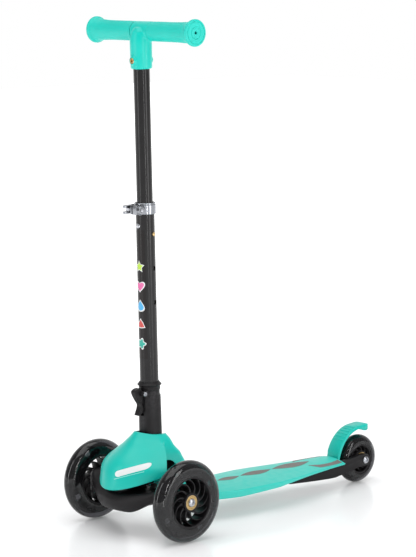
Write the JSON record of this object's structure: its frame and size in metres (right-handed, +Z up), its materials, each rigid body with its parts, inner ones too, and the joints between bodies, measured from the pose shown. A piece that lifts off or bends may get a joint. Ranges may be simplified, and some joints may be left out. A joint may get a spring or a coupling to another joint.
{
  "type": "kick scooter",
  "caption": "Child's lean-to-steer kick scooter with a low step deck, a folding telescopic stem, a T handlebar and a rear fender brake.",
  "frame": {"origin": "on the ground, under the middle of the scooter's width and length", "axes": "+Z up; -Y is the way the rider looks, towards the two front wheels; +X is the rider's left"},
  "size_m": [0.2294, 0.5592, 0.7482],
  "materials": {
    "green_plastic": "satin moulded plastic, turquoise green",
    "black_plastic": "satin black moulded nylon",
    "black_tube": "gloss black paint on aluminium tube",
    "inlay_grip": "fine-grained grey anti-slip sheet",
    "clear_tyre": "smoke-clear cast polyurethane",
    "steel": "zinc-plated steel",
    "chrome_metal": "polished chrome plate",
    "brass_metal": "yellow-passivated metal",
    "black_rubber": "moulded rubber"
  },
  "bodies": {
    "frame": {"chassis": "black_plastic", "deck": "green_plastic", "deck_inlay_1": "inlay_grip", "deck_inlay_2": "inlay_grip", "deck_inlay_3": "inlay_grip", "deck_inlay_4": "inlay_grip", "tail_inlay_left": "inlay_grip", "tail_inlay_right": "inlay_grip", "front_cover": "green_plastic", "fold_bracket": "black_plastic", "fold_pin": "steel", "kingpin": "steel", "kingpin_nut": "steel", "centring_bushing": "black_rubber", "brake_pin": "steel", "brake_spring": "steel", "rear_axle_bolt": "steel", "rear_axle_nut": "steel"},
    "truck": {"front_truck": "black_plastic", "lean_bumper_left": "black_rubber", "lean_bumper_right": "black_rubber", "front_axle_bolt_left": "steel", "front_axle_bolt_right": "steel"},
    "wheel_left": {"front_tyre_left": "clear_tyre", "front_core_left": "black_plastic", "front_bearing_outer_left": "brass_metal", "front_bearing_inner_left": "brass_metal"},
    "wheel_right": {"front_tyre_right": "clear_tyre", "front_core_right": "black_plastic", "front_bearing_outer_right": "brass_metal", "front_bearing_inner_right": "brass_metal"},
    "wheel_rear": {"rear_tyre": "clear_tyre", "rear_core": "black_plastic", "rear_bearing_left": "brass_metal", "rear_bearing_right": "brass_metal"},
    "brake": {"brake_fender": "green_plastic"},
    "stem": {"stem_socket": "black_plastic", "socket_collar": "black_plastic", "lower_tube": "black_tube", "guide_rivet": "steel", "clamp_collar": "chrome_metal", "clamp_bolt": "steel", "clamp_pin": "steel", "latch_pin": "chrome_metal", "lock_spring": "steel"},
    "latch": {"latch_lever": "black_plastic"},
    "plunger": {"lock_plunger": "steel"},
    "handle": {"upper_tube": "black_tube", "snap_spring": "steel", "handlebar_tee": "green_plastic", "handlebar_bolt": "brass_metal", "handlebar_nut": "brass_metal", "grip_left": "green_plastic", "grip_right": "green_plastic"},
    "clamp_handle": {"clamp_lever": "chrome_metal"},
    "clamp_knob": {"clamp_nut": "chrome_metal"},
    "button": {"snap_button": "brass_metal"}
  },
  "joints": [
    {"name": "lean_steer", "type": "hinge", "parent": "frame", "child": "truck", "pos_m": [0, -0.2156, 0.058], "axis": [0, -0.7071, 0.7071], "range_deg": [-10, 10], "stiffness_Nm_per_rad": 30},
    {"name": "front_left_roll", "type": "hinge", "parent": "truck", "child": "wheel_left", "pos_m": [0.1, -0.2156, 0.06], "axis": [1, 0, 0], "continuous": true},
    {"name": "front_right_roll", "type": "hinge", "parent": "truck", "child": "wheel_right", "pos_m": [-0.1, -0.2156, 0.06], "axis": [1, 0, 0], "continuous": true},
    {"name": "rear_roll", "type": "hinge", "parent": "frame", "child": "wheel_rear", "pos_m": [0, 0.2414, 0.0385], "axis": [1, 0, 0], "continuous": true},
    {"name": "brake_press", "type": "hinge", "parent": "frame", "child": "brake", "pos_m": [0, 0.1899, 0.036], "axis": [-1, 0, 0], "range_deg": [0, 7.5], "stiffness_Nm_per_rad": 2, "springref_deg": -8.59},
    {"name": "stem_fold", "type": "hinge", "parent": "frame", "child": "stem", "pos_m": [0, -0.1946, 0.1], "axis": [-1, 0, 0], "range_deg": [0, 82]},
    {"name": "latch_lift", "type": "hinge", "parent": "stem", "child": "latch", "pos_m": [0, -0.21621, 0.20394], "axis": [-1, 0, 0], "range_deg": [0, 20]},
    {"name": "plunger_slide", "type": "slide", "parent": "stem", "child": "plunger", "axis": [0, -0.0279, 0.9996], "range_m": [0, 0.005], "stiffness_N_per_m": 300, "springref_m": -0.01},
    {"name": "height_adjust", "type": "slide", "parent": "stem", "child": "handle", "axis": [0, -0.0279, 0.9996], "range_m": [-0.1, 0]},
    {"name": "clamp_open", "type": "hinge", "parent": "stem", "child": "clamp_handle", "pos_m": [-0.0134, -0.22443, 0.47331], "axis": [0, -0.0279, 0.9996], "range_deg": [0, 90]},
    {"name": "clamp_knob_turn", "type": "hinge", "parent": "stem", "child": "clamp_knob", "pos_m": [0, -0.22443, 0.47331], "axis": [1, 0, 0], "continuous": true},
    {"name": "button_press", "type": "slide", "parent": "stem", "child": "button", "axis": [-0.9613, -0.2755, -0.0077], "range_m": [0, 0.0025], "stiffness_N_per_m": 800, "springref_m": -0.001}
  ],
  "couplings": [
    {"joint": "latch_lift", "follows": "plunger_slide", "rad_per_m": 69.813}
  ]
}
